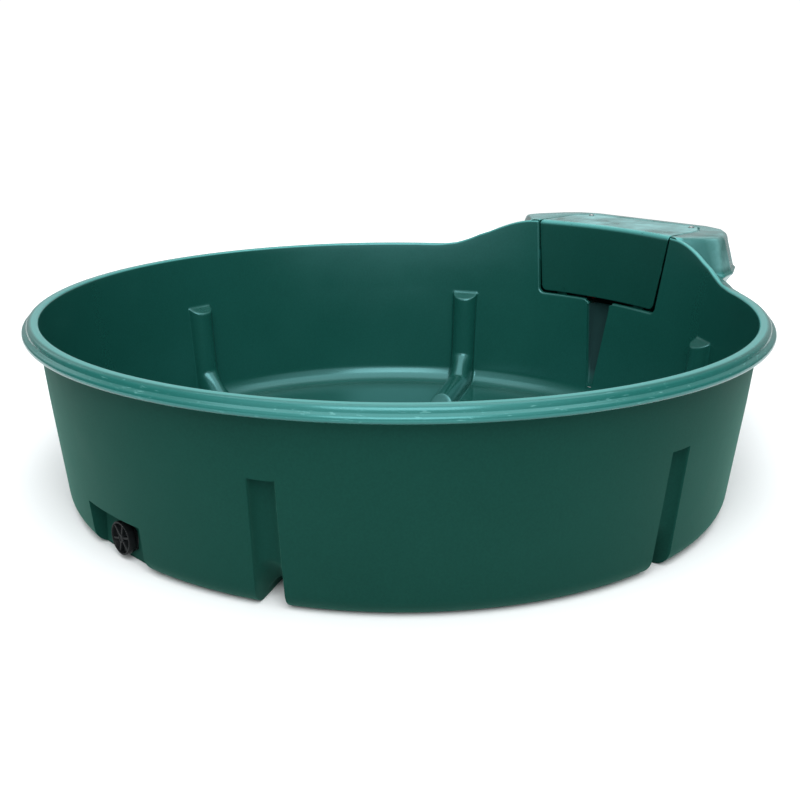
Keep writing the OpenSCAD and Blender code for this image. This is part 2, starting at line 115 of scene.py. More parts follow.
BOSS_Z = 580.0  # underside of the bosses that hold the cover screws' inserts
INSERT_R = 6.5  # radius of the hole for an insert
VALVE_PAD = ((-428, 1037, 500), (-393, 1133, 596))  # thick panel that the float valve is bolted to
PAD_POCKET = ((-470, 1049, 512), (-405, 1121, 584))  # pocket behind it for the back nut
INLET = (-415, 1085, 548)  # start of the inlet's hole
INLET_R = 11.0  # radius of that hole

# ---- Cover
COVER_T = 7.0  # thickness of the cover
COVER_GAP = 6.5  # gap beside its top
COVER_REAR = 1236.0  # distance from the axis to its rear edge
COVER_BACK = (265.0, 1165.0)  # half its width near the rear edge, and where its corner starts
COVER_BEND = 17.0  # radius of the bend between its top and its front panel
APRON_Z = 381.0  # lower edge of the front panel
APRON_SIDE = 9.5  # gap beside the front panel
APRON_CORNER = 18.0  # radius of the front panel's lower corners
TONGUE_X = 165.0  # middle of a tongue that hooks behind the sill
TONGUE_HALF = 20.0  # half its width
WEB_X = 150.0  # middle of a web that stiffens the bend
WEB_HALF = 3.0  # half its thickness
SCREW = (212.0, 1208.0)  # axis of the right screw
SCREW_R = 4.3  # radius of a screw's hole

# ---- Drain plug
PLUG_Y = -929.0  # underside of the plug's head, on the drain's axis
SPOKE_TURNS = (15, 75, 135)  # degrees from level of the bars across the grip
SPOKE_REACH = 38.0  # half the length of a bar

# ---- Rows of the tub's mesh that follow no other shape
FLOOR_RADII = (110, 240, 370, 470, 540, 572)
UNDER_RADII = (600, 520, 400, 260, 120)
UPPER_WALL = (362, 385, 408, 430, 450, 470, 488, 503)  # heights inside, from the ribs to the rim
OUTER_WALL = (450, 415, 380, 350)  # heights outside, from the lip to the hollows
# The rim outside, from its top down: distance from the axis when the rim is 1050 mm in radius,
# height, and the share that the point takes of the lip's run out to the box.
RIM_OUTLINE = [
    (1033, 521, 0.0), (1036, 517, 0.8), (1037, 512.5, 1), (1038, 509.5, 1), (1041, 507.3, 1),
    (1045, 506, 1), (1048, 503.5, 1), (1049.5, 500.5, 1), (1050, 497, 1), (1049.5, 493.5, 1),
    (1047.5, 490, 1), (1044.5, 487.8, 1), (1040, 486.5, 0.9), (1028, 486, 0.4),
    (1016, 485.5, 0.1), (1011, 483.5, 0), (1008.5, 479, 0), (1007.2, 472, 0),
]
LIP_ROWS = 5  # the last points of that outline, which lie under the lip

# ---- Colours of the polyethylene's highlights and sheen, its dust and wear, and its painted highlights, light and shade
HIGHLIGHT = (0.42, 0.95, 1.0, 1)
SHEEN = (0.25, 0.95, 0.72, 1)
# Dust on flat tops; the same colour on the service box's sides is painted light
DUST_AND_SIDE_LIGHT = (0.34, 0.68, 0.68, 1)
# Painted highlight on the lip's outer bead
LIP_HIGHLIGHT = (0.03, 0.26, 0.24, 1)
# Painted highlight on the upward top edges of the rim, the raised wall and the cover's bend
EDGE_HIGHLIGHT = (0.1, 0.4, 0.38, 1)
WORN = (0.15, 0.36, 0.34, 1)
# Painted shade, near black, in the spill channel below the slot
PAINTED_SHADE = (0.001, 0.007, 0.006, 1)

# ---- Camera, in metres and degrees
CAMERA_AT = (2.27359, -2.17814, 1.19734)
CAMERA_TURN = 47.2194  # to the left of +Y
CAMERA_DIP = 16.9917  # below level
CAMERA_ROLL = -0.0788
CAMERA_LENS = 49.477  # mm, on a sensor 36 mm wide
CAMERA_SHIFT = (0.0269, -0.00814)

# ---- Studio, in metres
FLOOR_R = 5.0
FLOOR_GLOW = (1.8, 4.5, 0.0, 0.5)  # where the glow starts and is full, and its strength at each
# Bright patches of sky: direction, where the patch starts and is full (cosine), brightness.
SKY = (
    ((0.55, -0.55, 0.63), 0.4, 0.9, 1.0),
    ((-0.6, 0.6, 0.53), 0.3, 0.9, 0.35),
    ((0.0, 0.0, 1.0), 0.3, 0.8, 0.5),
)
SKY_DARK = (0.1, 0.12, 0.12, 1)
SKY_BRIGHT = (1.3, 1.33, 1.35, 1)
BACKDROP = (1.05, 1.05, 1.05, 1)
LAMPS = (  # name, place, size, power in watts
    ("key", (3.4, -3.2, 4.6), 4.0, 260),
    ("overhead", (0.2, 0.0, 4.6), 5.0, 150),
    ("left", (-4.2, -1.6, 2.4), 2.0, 8),
)
LAMP_COLOR = (0.95, 0.99, 1.0)
LAMP_AIM = (0, 0, 0.3)


# ------------------------ shape tools

def wall_in(z):
    """Distance from the axis to the wall's inner face at height z."""
    return WALL_IN + LEAN * z


def wall_out(z):
    """The same to its outer face."""
    return WALL_OUT + LEAN * z


def smooth(t):
    """A soft step from 0 to 1 as t goes from 0 to 1."""
    t = np.clip(t, 0.0, 1.0)
    return t * t * (3 - 2 * t)


def rounded(points, radii, steps=6):
    """The open outline with each corner of a radius above 0 replaced by an arc."""
    points = [np.array(p, float) for p in points]
    last = len(points) - 1
    out = []
    for i, p in enumerate(points):
        r = radii[i] if hasattr(radii, "__len__") else radii
        if r <= 0 or i in (0, last):
            out.append(p)
            continue
        a = points[i - 1] - p
        b = points[i + 1] - p
        a /= np.linalg.norm(a)
        b /= np.linalg.norm(b)
        half = math.acos(np.clip(a @ b, -1, 1)) / 2
        middle = (a + b) / np.linalg.norm(a + b)
        centre = p + middle * r / math.sin(half)
        v0 = p + a * r / math.tan(half) - centre
        v1 = p + b * r / math.tan(half) - centre
        turn = math.pi - 2 * half
        for f in np.linspace(0, 1, steps + 1):
            v = (math.sin((1 - f) * turn) * v0 + math.sin(f * turn) * v1) / math.sin(turn)
            out.append(centre + v)
    return np.array(out)


def lengths(path):
    """Distance along the path to each of its points."""
    return np.concatenate([[0], np.cumsum(np.linalg.norm(np.diff(path, axis=0), axis=1))])


def at_length(path, s):
    """Points of the path at distances s along it."""
    run = lengths(path)
    return np.stack([np.interp(s, run, path[:, k]) for k in range(path.shape[1])], axis=1)


def nearest_length(path, point):
    """Distance along the path to its point nearest to the given one."""
    run = lengths(path)
    fine = np.linspace(0, run[-1], 4000)
    gap = np.linalg.norm(at_length(path, fine) - np.array(point, float), axis=1)
    return fine[gap.argmin()]


def arc(cx, cy, r, start, end, steps):
    """Points of an arc from one angle to another, in degrees."""
    a = np.radians(np.linspace(start, end, steps + 1))
    return np.stack([cx + r * np.cos(a), cy + r * np.sin(a)], axis=1)


def make(name, verts, faces):
    """An object from points in millimetres and faces, with its normals outwards."""
    mesh = bpy.data.meshes.new(name)
    mesh.from_pydata((np.asarray(verts, float) * MM).tolist(), [], faces)
    mesh.update()
    piece = bpy.data.objects.new(name, mesh)
    bpy.context.scene.collection.objects.link(piece)
    bm = bmesh.new()
    bm.from_mesh(mesh)
    bmesh.ops.recalc_face_normals(bm, faces=bm.faces)
    bm.to_mesh(mesh)
    bm.free()
    return piece


def loft(name, rings):
    """A solid skinned over closed rings of equal length."""
    rings = np.asarray(rings, float)
    m, n, _ = rings.shape
    faces = [
        (i * n + j, i * n + (j + 1) % n, (i + 1) * n + (j + 1) % n, (i + 1) * n + j)
        for i in range(m - 1)
        for j in range(n)
    ]
    faces.append(tuple(range(n)))
    faces.append(tuple((m - 1) * n + j for j in range(n)))
    return make(name, rings.reshape(-1, 3), faces)


def revolve(name, profile, origin, axis, sides):
    """A solid turned about an axis through origin; profile is (along the axis, radius)."""
    axis = Vector(axis).normalized()
    u = axis.orthogonal().normalized()
    v = axis.cross(u)
    rings = []
    for along_axis, radius in profile:
        centre = Vector(origin) + axis * along_axis
        turns = np.linspace(0, 2 * math.pi, sides, endpoint=False)
        rings.append([tuple(centre + (u * math.cos(a) + v * math.sin(a)) * radius) for a in turns])
    return loft(name, rings)


def block(name, low, high):
    """A box between two corners."""
    (x0, y0, z0), (x1, y1, z1) = low, high
    ring = [(x0, y0), (x1, y0), (x1, y1), (x0, y1)]
    return loft(name, [[(x, y, z) for x, y in ring] for z in (z0, z1)])


def combine(target, other, operation):
    """Joins other to target or cuts it away, and removes other."""
    cut = target.modifiers.new("combine", "BOOLEAN")
    cut.operation = operation
    cut.solver = "MANIFOLD"
    cut.object = other
    bpy.context.view_layer.update()
    solid = bpy.data.meshes.new_from_object(
        target.evaluated_get(bpy.context.evaluated_depsgraph_get())
    )
    target.modifiers.clear()
    target.data = solid
    bpy.data.objects.remove(other)


def drill(target, start, axis, radius, depth, sides):
    """Cuts a round hole into target."""
    combine(target, revolve("hole", [(0, radius), (depth, radius)], start, axis, sides), "DIFFERENCE")


def finish_piece(piece, material):
    """Smooth shading except at sharp edges, and the material if the piece has none of it."""
    if material not in list(piece.data.materials):
        piece.data.materials.clear()
        piece.data.materials.append(material)
    piece.data.shade_smooth()
    piece.data.set_sharp_from_angle(angle=math.radians(SHARP_ANGLE))


# ------------------------ tub

def rib_columns():
    """Half-widths of the columns beside a rib: on its inner face, and on its hollow."""
    turns = np.radians(np.linspace(0, 83.2, 11))
    inner = list(RIB_HALF * np.sin(turns)) + [RIB_HALF + d for d in (0.3, 1.3, 2.8, 5.6)]
    outer = list(NOTCH_HALF * np.sin(turns)) + [NOTCH_HALF + d for d in (0.2, 0.8, 2.0, 4.5)]
    beyond = [54, 62, 75, 95, 120, 145, 175, 220]
    beyond_outer = [45, 56] + beyond[2:]
    return inner + beyond, outer + beyond_outer


def columns():
    """Every column of the tub, in order round it. A rib or bay column is its feature's azimuth,
    its distance from the feature's middle inside and outside, and its kind. A plain column
    lies between two others: the two, the share of the way from the first, and its kind."""
    inner, outer = rib_columns()
    bay = list(range(0, 106, 15)) + [112, 116, 117.6, 118.4, 120, 124, 128, 132, 136, 145, 160]
    found = []
    for turn in RIB_TURNS:
        for side in (-1, 1):
            pairs = [(a, b) for a, b in zip(inner, outer) if a or side > 0]
            found += [(turn, side * a, side * b, "rib") for a, b in pairs]
    for side in (-1, 1):
        found += [(180, side * w, side * w, "bay") for w in bay if w or side > 0]
    angle = {c: c[0] + math.degrees(math.asin(c[1] / REF_R)) for c in found}
    found.sort(key=angle.get)
    filled = []
    for a, b in zip(found, found[1:] + found[:1]):
        filled.append(a)
        gap = (angle[b] - angle[a]) % 360
        middle = (angle[a] + gap / 2) % 360
        step = 1.3 if min(middle, 360 - middle) < 42 else 2.4
        count = math.ceil(gap / step) if gap > step else 1
        filled += [(a, b, k / count, "plain") for k in range(1, count)]
    return filled


def rib_height(w):
    """How far a rib stands out at a distance w from its middle, from 0 to 1."""
    w = np.abs(w)
    round_part = np.sqrt(np.clip(RIB_HALF**2 - w**2, 0, None))
    reach = math.sqrt((RIB_HALF + RIB_FOOT) ** 2 - RIB_FOOT**2)
    foot = RIB_FOOT - np.sqrt(np.clip(RIB_FOOT**2 - (reach - w) ** 2, 0, None))
    meet = reach * RIB_HALF / (RIB_HALF + RIB_FOOT)
    return np.where(w < meet, round_part, np.where(w < reach, foot, 0)) / RIB_HALF


def notch_depth(w, straight):
    """How deep the hollow behind a rib is at w from its middle, from 0 to 1.
    straight is the depth of its upright sides before the round part starts."""
    w = np.abs(w)
    deep = straight + np.sqrt(np.clip(NOTCH_HALF**2 - w**2, 0, None))
    return deep * smooth((NOTCH_HALF + 2.0 - w) / 2.2) / (straight + NOTCH_HALF)


def matched(base, crest, keys, spacing):
    """Rows along the base path with their partners along the crest path.
    keys pairs points of the two; spacing gives the number of rows between each pair."""
    on_base = [nearest_length(base, b) for b, _ in keys]
    on_crest = [nearest_length(crest, c) for _, c in keys]
    s = np.concatenate([
        np.linspace(a, b, n, endpoint=False) for a, b, n in zip(on_base, on_base[1:], spacing)
    ] + [[on_base[-1]]])
    return at_length(base, s), at_length(crest, np.interp(s, on_base, on_crest))


def rib_crest(z):
    """The crest of a rib on the wall at height z."""
    return RIB_CREST + LEAN * z, z


def notch_back(z):
    """The back of a hollow at height z."""
    return NOTCH_BACK + LEAN * z, z


def inner_rows():
    """Rows from the end of the ribs on the floor to the top of the ribs on the wall."""
    top = RIB_TOP + RIB_BLEND
    base = np.concatenate([
        [(RIB_END - 2, FLOOR_Z)],
        arc(*COVE, -90, -math.degrees(math.atan(LEAN)), 40),
        [(wall_in(top), top)],
    ])
    crest = rounded(
        [(RIB_END, FLOOR_Z), (617, RIB_LOW), (861, RIB_LOW), (925.3, 119.5),
         rib_crest(RIB_TOP_IN), (wall_in(RIB_TOP), RIB_TOP), (wall_in(top), top)],
        [0, 5, 16, 16, 9, 11, 0], steps=8,
    )
    keys = [
        ((RIB_END - 2, FLOOR_Z), (RIB_END, FLOOR_Z)),
        ((RIB_END + 6, FLOOR_Z), (613, 50)),
        ((RIB_END + 10, FLOOR_Z), (622, RIB_LOW)),
        ((640, FLOOR_Z), (650, RIB_LOW)),
        ((835, FLOOR_Z), (835, RIB_LOW)),
        ((wall_in(128), 128), rib_crest(135)),
        ((wall_in(300), 300), rib_crest(300)),
        ((wall_in(340), 340), rib_crest(316)),
        ((wall_in(343.5), 343.5), (954, 331.5)),
        ((wall_in(347), 347), (wall_in(RIB_TOP) - 8, RIB_TOP - 3.5)),
        ((wall_in(top), top), (wall_in(top), top)),
    ]
    return matched(base, crest, keys, [5, 4, 3, 4, 26, 8, 4, 7, 4, 8])


def outer_rows():
    """Rows from the top of the hollows down the outer wall and under the floor."""
    start = (wall_out(NOTCH_TOP + 1.5), NOTCH_TOP + 1.5)
    base = np.concatenate([
        [start],
        arc(*CORNER, -math.degrees(math.atan(LEAN)), -90, 40),
        [(NOTCH_END, 0)],
    ])
    crest = rounded(
        [(wall_out(NOTCH_TOP), NOTCH_TOP), notch_back(325), (935.9, 114),
         (866, NOTCH_LOW), (NOTCH_END + 2, NOTCH_LOW), (NOTCH_END, 0)],
        [0, 3, 12, 12, 0, 0], steps=6,
    )
    keys = [
        (start, (wall_out(NOTCH_TOP), NOTCH_TOP)),
        ((wall_out(326.5), 326.5), notch_back(324)),
        ((wall_out(160), 160), notch_back(160)),
        ((wall_out(129), 129), notch_back(129)),
        ((wall_out(123.5), 123.5), notch_back(123.5)),
        ((wall_out(54), 54), (915, 92)),
        ((CORNER[0], 0), (866, NOTCH_LOW)),
        ((NOTCH_END + 6, 0), (NOTCH_END + 4, NOTCH_LOW)),
        ((NOTCH_END, 0), (NOTCH_END, 0)),
    ]
    return matched(base, crest, keys, [5, 9, 3, 8, 5, 14, 9, 4])


def azimuth(col, r, inside):
    """Direction of a column at radius r, in degrees from the service box. Close to a rib or
    the recess a column keeps its width at every radius, and further away it runs to the axis."""
    if col[3] == "plain":
        before, after, share, _ = col
        start = azimuth(before, r, inside)
        end = azimuth(after, r, inside)
        return start + ((end - start) % 360) * share
    turn, w_in, w_out, kind = col
    near, fade, keep = (60, 160, 560) if kind == "rib" else (150, 60, 890)
    w = w_in if inside else w_out
    rr = max(r, keep)
    b = smooth((abs(w) - near) / fade)
    lateral = w * ((1 - b) * max(rr / REF_R, 1) + b * rr / REF_R)
    return turn + math.degrees(math.asin(lateral / rr))


def shoulder_rise(x):
    """Height of the raised wall above the rim at x from the middle of the box."""
    t = np.clip((abs(x) - SHOULDER_X) / SHOULDER_W, 0, 1)
    return SHOULDER_H * (1 + math.cos(math.pi * t)) / 2


def ear_shift(angle):
    """How far the lip runs out beyond the circle, and how far it rises, at an azimuth."""
    a = abs((angle + 180) % 360 - 180)
    if a >= EAR_TURN:
        return 0.0, 0.0
    reach = RIM_R / math.cos(math.radians(EAR_TURN - max(a, EAR_END))) - RIM_R
    inside_box = smooth((EAR_END - 1 - a) / 3.5)
    return reach - inside_box * (reach + 12), 9 * smooth((34 - a) / 11)


def rim_rows(rise, reach, lift):
    """The section of the rim over the wall, from its inner face round to the outer wall."""
    top = RIM_H + rise
    bead_r = 8
    r_in = wall_in(top - bead_r)
    inner = arc(r_in + bead_r, top - bead_r, bead_r, 180, 90, 5)
    steps = np.arange(10)
    last = steps[-1]
    flat = np.stack([1012.5 + 15.5 * steps / last, RIM_H - (steps / last) ** 2], axis=1)
    foot = wall_in(RIM_H) + WALL_T
    bead = arc(r_in + WALL_T - bead_r, top - bead_r, bead_r, 70, 0, 4)
    down = np.linspace(bead[-1], (foot, RIM_H + 5), 4)[1:]
    raised = np.concatenate([bead, down, [(foot + 2, RIM_H + 1), (foot + 6, RIM_H - 1)]])
    s = smooth(rise / 22)
    back = flat * (1 - s) + raised * s
    scale = RIM_R / 1050
    outer = [(r * scale + reach * share, z + lift * share) for r, z, share in RIM_OUTLINE]
    return np.concatenate([inner, back, outer])


def tub_column(col, ribs, hollows):
    """The points of one column, from the floor over the rim and round to the underside:
    distance from the axis, height, and face, which is "inside", "rim" or "outside".
    ribs and hollows are the matched rows of inner_rows and outer_rows."""
    w_in, w_out, kind = col[1:]
    height = rib_height(w_in) if kind == "rib" else 0.0
    side = azimuth(col, REF_R, True)
    x_rim = RISE_R * math.sin(math.radians(side))
    rise = shoulder_rise(x_rim) if math.cos(math.radians(side)) > 0 else 0.0
    column = [(r, FLOOR_Z, "inside") for r in FLOOR_RADII]
    for base, crest in zip(*ribs):
        r, z = base + (crest - base) * height
        column.append((r, z, "inside"))
    wall_top = RIM_H - 8
    stretch = (rise + wall_top - RIB_TOP) / (wall_top - RIB_TOP)
    for z in UPPER_WALL:
        z = RIB_TOP + (z - RIB_TOP) * stretch
        column.append((wall_in(z), z, "inside"))
    column += [(r, z, "rim") for r, z in rim_rows(rise, *ear_shift(side))]
    column += [(wall_out(z), z, "outside") for z in OUTER_WALL]
    for base, crest in zip(*hollows):
        on_floor = smooth((60 - base[1]) / 50)
        deep = notch_depth(w_out, 3.5 + 6.5 * on_floor) if kind == "rib" else 0.0
        r, z = base + (crest - base) * deep
        column.append((r, z, "outside"))
    return column + [(r, 0, "outside") for r in UNDER_RADII]


def in_place(col, r, z, face):
    """Where a point of a column lies, with the hollows' taper and the drain recess's flats."""
    turn, w_in, w_out, kind = col
    a = azimuth(col, r, face != "outside")
    if kind == "rib" and face == "rim":
        a = (a + azimuth(col, r, False)) / 2
    if kind == "rib" and face == "outside" and abs(w_out) < 60:
        taper = 1 + NOTCH_TAPER * (2 * smooth((330 - z) / 330) - 1)
        held = 1 - smooth((abs(w_out) - 36) / 24)
        a = turn + (a - turn) * (1 + (taper - 1) * held)
    from_back = math.radians(a - 180)
    if kind == "bay" and face == "inside":
        share = smooth((PAD_HALF - abs(w_in)) / 8) * smooth((PAD_TOP + 3 - z) / 8)
        r = r + (min(r, PAD_Y / math.cos(from_back)) - r) * share
    if kind == "bay" and face == "outside":
        share = (abs(w_in) < BAY_HALF) * smooth((BAY_TOP + 0.9 - z) / 1.8)
        r = r + (min(r, BAY_Y / math.cos(from_back)) - r) * share
    t = math.radians(a)
    return r * math.sin(t), r * math.cos(t), z


def tub(glossy, dull_and_shaded):
    """The tub with its ribs, their hollows, the rim and the drain recess: one closed skin,
    in one material inside and on the rim, and another, darker by painted shade, below the lip outside."""
    ribs = inner_rows()
    hollows = outer_rows()
    grid = []
    for col in columns():
        column = tub_column(col, ribs, hollows)
        grid.append([in_place(col, r, z, face) for r, z, face in column])
    on_lip = [face for _, _, face in column].index("outside") - LIP_ROWS
    grid = np.array(grid)
    n, m, _ = grid.shape
    verts = grid.reshape(-1, 3).tolist() + [(0, 0, FLOOR_Z), (0, 0, 0)]
    faces = []
    for j in range(n):
        k = (j + 1) % n
        faces.append((j * m, k * m, n * m))
        faces.append((j * m + m - 1, k * m + m - 1, n * m + 1))
        faces += [(j * m + i, k * m + i, k * m + i + 1, j * m + i + 1) for i in range(m - 1)]
    piece = make("tank", verts, faces)
    piece.data.materials.append(glossy)
    piece.data.materials.append(dull_and_shaded)
    kinds = [0, 1] + [int(i >= on_lip) for i in range(m - 1)]
    piece.data.polygons.foreach_set("material_index", kinds * n)
    return piece


# ------------------------ service box

def shifted(points, g):
    """The open outline moved outwards by g; its points run clockwise seen from above."""
    points = np.array(points, float)
    out = []
    edges = np.diff(points, axis=0)
    edges /= np.linalg.norm(edges, axis=1)[:, None]
    normals = np.stack([-edges[:, 1], edges[:, 0]], axis=1)
    out.append((points[0][0], points[0][1] + g))
    for i in range(1, len(points) - 1):
        n1, n2 = normals[i - 1], normals[i]
        out.append(tuple(points[i] + g * (n1 + n2) / (1 + n1 @ n2)))
    out.append(tuple(points[-1] + g * normals[-1]))
    return out


def box_ring(z, g, front, corner=16):
    """One level of the box: its outline grown by g, closed along the tub's wall plus front."""
    half = shifted([(0, BOX_REAR)] + BOX_HALF, g)
    r = wall_in(z) + front
    a = np.array(half[-2])
    b = np.array(half[-1])
    steps = np.linspace(0, 1, 2001)[:, None]
    line = a + (b - a) * steps
    meet = line[np.abs(np.linalg.norm(line, axis=1) - r).argmin()]
    right = rounded(half[:-1] + [tuple(meet)], corner, steps=5)
    angle = math.atan2(meet[0], meet[1])
    across = [(r * math.sin(t), r * math.cos(t)) for t in np.linspace(angle, -angle, 27)]
    ring = list(map(tuple, right[:-1])) + across + [(-x, y) for x, y in right[1:-1][::-1]]
    return [(x, y, z) for x, y in ring]


def box_solid():
    """The outside of the service box; each level is a height and how far the outline grows."""
    levels = [
        (342, -6), (342.8, 0), (345.5, 5), (350, 8.6), (357, 10.5), (400, 14), (450, 18.5), (484, 22),
        (488, 25), (492, 28.5), (498, 32), (504, 36.5), (508, 41), (511, 42.8), (514, 42.8),
        (517, 40.5), (519.5, 37), (522, 35), (529, 33), (541, 29.5), (568, 22), (595, 14),
        (612, 9.5), (619, 7.2), (624, 5), (628, 2), (630.5, -1.5), (632, -7),
    ]
    return loft("service_box", [box_ring(z, g, 4) for z, g in levels])


def box_hollow():
    """The space inside the service box."""
    levels = [
        (BOX_FLOOR, -8), (353.5, -2), (358, 2), (400, 5), (500, 15),
        (512, 22), (541, 16), (600, 1), (612, -6), (618, -14),
    ]
    return loft("box_hollow", [box_ring(z, g, 10, corner=12) for z, g in levels])


# ------------------------ cutters

def grown(outline, amount):
    """An open outline in (across, height), each point moved out by amount(direction)."""
    tangent = np.gradient(outline, axis=0)
    tangent /= np.linalg.norm(tangent, axis=1)[:, None]
    normal = np.stack([tangent[:, 1], -tangent[:, 0]], axis=1)
    return outline + normal * amount(normal)[:, None]


def mirrored(right):
    """A whole outline from its right half, which ends in the middle."""
    return np.concatenate([right, right[:-1][::-1] * (-1, 1)])


def wall_cutter(name, outline, flare_side, flare_low, y_in, y_out):
    """Cuts an outline through the wall from y_in to y_out, with its inner edge rounded."""
    def flare(normal):
        return flare_side + (flare_low - flare_side) * normal[:, 1] ** 2

    def ring(depth, spread):
        points = grown(outline, lambda normal: spread * flare(normal))
        r = wall_in(points[:, 1]) + depth
        return np.stack([points[:, 0], np.sqrt(r**2 - points[:, 0] ** 2), points[:, 1]], axis=1)

    def plane(y, like):
        flat = like.copy()
        flat[:, 1] = y
        return flat

    deep = max(flare_side, flare_low)
    steps = [(deep * (1 - math.cos(t)), 1 - math.sin(t)) for t in np.radians([0, 12, 25, 40, 58, 90])]
    rings = [ring(-3, 1.0)] + [ring(d, s) for d, s in steps] + [ring(17, 0.0)]
    return loft(name, [plane(y_in, rings[0])] + rings + [plane(y_out, rings[-1])])


def front_cutter():
    """Cuts the opening that the cover's front panel closes."""
    slope = (OPEN_TOP - OPEN_SILL) / (BOX_TOP - SILL_Z)
    high = 700
    top = OPEN_SILL + slope * (high - SILL_Z)
    corner = rounded([(top, high), (OPEN_SILL, SILL_Z), (0, SILL_Z)], CORNER_R, steps=8)
    side = np.linspace((top, high), corner[1], 12)[:-1]
    sill = np.linspace(corner[-2], (0, SILL_Z), 14)[1:]
    outline = mirrored(np.concatenate([side, corner[1:-1], sill]))[::-1]
    return wall_cutter("front_cutter", outline, flare_side=4, flare_low=8, y_in=850, y_out=1032)


def slot_cutter():
    """Cuts the slot in the sill that lets water run from the box into the tub."""
    low = BOX_FLOOR - 0.5
    half = [(58, 390), (58, 367), (44, 361), (42, low), (0, low)]
    outline = mirrored(rounded(half, [0, 4, 5, 3, 0], steps=4))[::-1]
    return wall_cutter("slot_cutter", outline, flare_side=4, flare_low=3, y_in=900, y_out=1040)


def spill_rings(grow, low, high, start, flare=0.0):
    """Levels of the channel that tapers down the wall from the slot to a point.
    start is how far behind the wall's inner face each level begins, and flare rounds its edges."""
    rings = []
    turns = np.radians(np.linspace(0, 180, 31))
    across = np.cos(turns)
    into = np.sin(turns)
    for z in np.linspace(low, high, 24):
        rise = max(z - SPILL_LOW, 0)
        half = SPILL_HALF + SPILL_GROW * rise + grow
        depth = SPILL_DEEPEN * rise + grow
        x = half * np.sign(across) * np.abs(across) ** 0.42
        d = depth * into**0.8
        x = x + np.sign(across) * flare * np.clip(1 - d / (1.5 * flare + 0.01), 0, 1) ** 2
        r = wall_in(z) + np.concatenate([[start], np.maximum(d, start + 0.01), [start]])
        x = np.concatenate([[x[0] + 0.01], x, [x[-1] - 0.01]])
        rings.append(np.stack([x, np.sqrt(r**2 - x**2), np.full(len(x), z)], axis=1))
    return rings


def plan_loft(name, half, levels, radii):
    """An upright solid in plan, grown by g at each height."""
    path = mirrored(rounded(half, radii, steps=6))
    rings = []
    for z, g in levels:
        moved = grown(path, lambda n: np.full(len(n), g))
        rings.append([(x, y, z) for x, y in moved])
    return loft(name, rings)


def seat_cutter():
    """Cuts the ledge that the cover rests on, with its upper edge rounded."""
    rear = COVER_REAR + 4
    half = [(OPEN_TOP, 900), (OPEN_TOP, 965), (270, 1165), (225, rear), (0, rear)]
    levels = [
        (SEAT_Z, 0), (628.5, 0), (629.4, 0.2), (630.4, 0.8), (631.3, 1.8), (BOX_TOP, 3.2), (660, 3.2),
    ]
    return plan_loft("seat_cutter", half, levels, [0, 0, 26, 22, 0])


def hatch_cutter():
    """Cuts the opening under the cover's top, in front of the screw bosses."""
    front = OPEN_TOP - 14
    half = [(front, 900), (front, 1000), (252, 1130), (200, 1185), (0, 1185)]
    return plan_loft("hatch_cutter", half, [(600, 0), (650, 0)], [0, 0, 20, 20, 0])


def tank(glossy, dull_and_shaded):
    """The whole moulding: the tub with its service box, spillway, screw bosses and drain hole."""
    up = (0, 0, 1)
    screws = [(side * SCREW[0], SCREW[1]) for side in (-1, 1)]
    shell = tub(glossy, dull_and_shaded)
    combine(shell, box_solid(), "UNION")
    channel_back = spill_rings(grow=9, low=60, high=348, start=2)
    combine(shell, loft("spill_back", channel_back), "UNION")
    combine(shell, box_hollow(), "DIFFERENCE")
    for x, y in screws:
        boss = revolve("boss", [(0, 10), (3, 15), (44, 15)], (x, y, BOSS_Z), up, 40)
        combine(shell, boss, "UNION")
    combine(shell, block("valve_pad", *VALVE_PAD), "UNION")
    combine(shell, block("pad_pocket", *PAD_POCKET), "DIFFERENCE")
    drill(shell, INLET, (1, 0, 0), INLET_R, depth=30, sides=40)
    drill(shell, (0, -930, DRAIN_Z), (0, 1, 0), DRAIN_R, depth=40, sides=64)
    for x, y in screws:
        drill(shell, (x, y, BOSS_Z + 20), up, INSERT_R, depth=40, sides=32)
    combine(shell, hatch_cutter(), "DIFFERENCE")
    combine(shell, seat_cutter(), "DIFFERENCE")
    combine(shell, front_cutter(), "DIFFERENCE")
    combine(shell, slot_cutter(), "DIFFERENCE")
    channel = spill_rings(grow=0.3, low=48, high=BOX_FLOOR + 2, start=-8, flare=3.0)
    combine(shell, loft("spill_cutter", channel), "DIFFERENCE")
    return shell


# ------------------------ cover

def cover_half_width(y, z):
    """Half the width of the cover: of its front panel at height z, of its top at y."""
    top_half = OPEN_TOP - COVER_GAP
    if z < SEAT_Z:
        low = OPEN_SILL - APRON_SIDE
        half = low + (top_half - low) * (z - APRON_Z) / (SEAT_Z - APRON_Z)
        deep = min(z - APRON_Z, APRON_CORNER)
        return half - APRON_CORNER + math.sqrt(APRON_CORNER**2 - (APRON_CORNER - deep) ** 2)
    back_half, back_y = COVER_BACK
    half = np.interp(y, [965, back_y], [top_half, back_half])
    outline = [(back_half, 1100), COVER_BACK, (220, COVER_REAR), (0, COVER_REAR)]
    bevel = rounded(outline, [0, 22, 20, 0], steps=10)
    return min(half, np.interp(y, bevel[:, 1], bevel[:, 0])) if y > 1120 else half


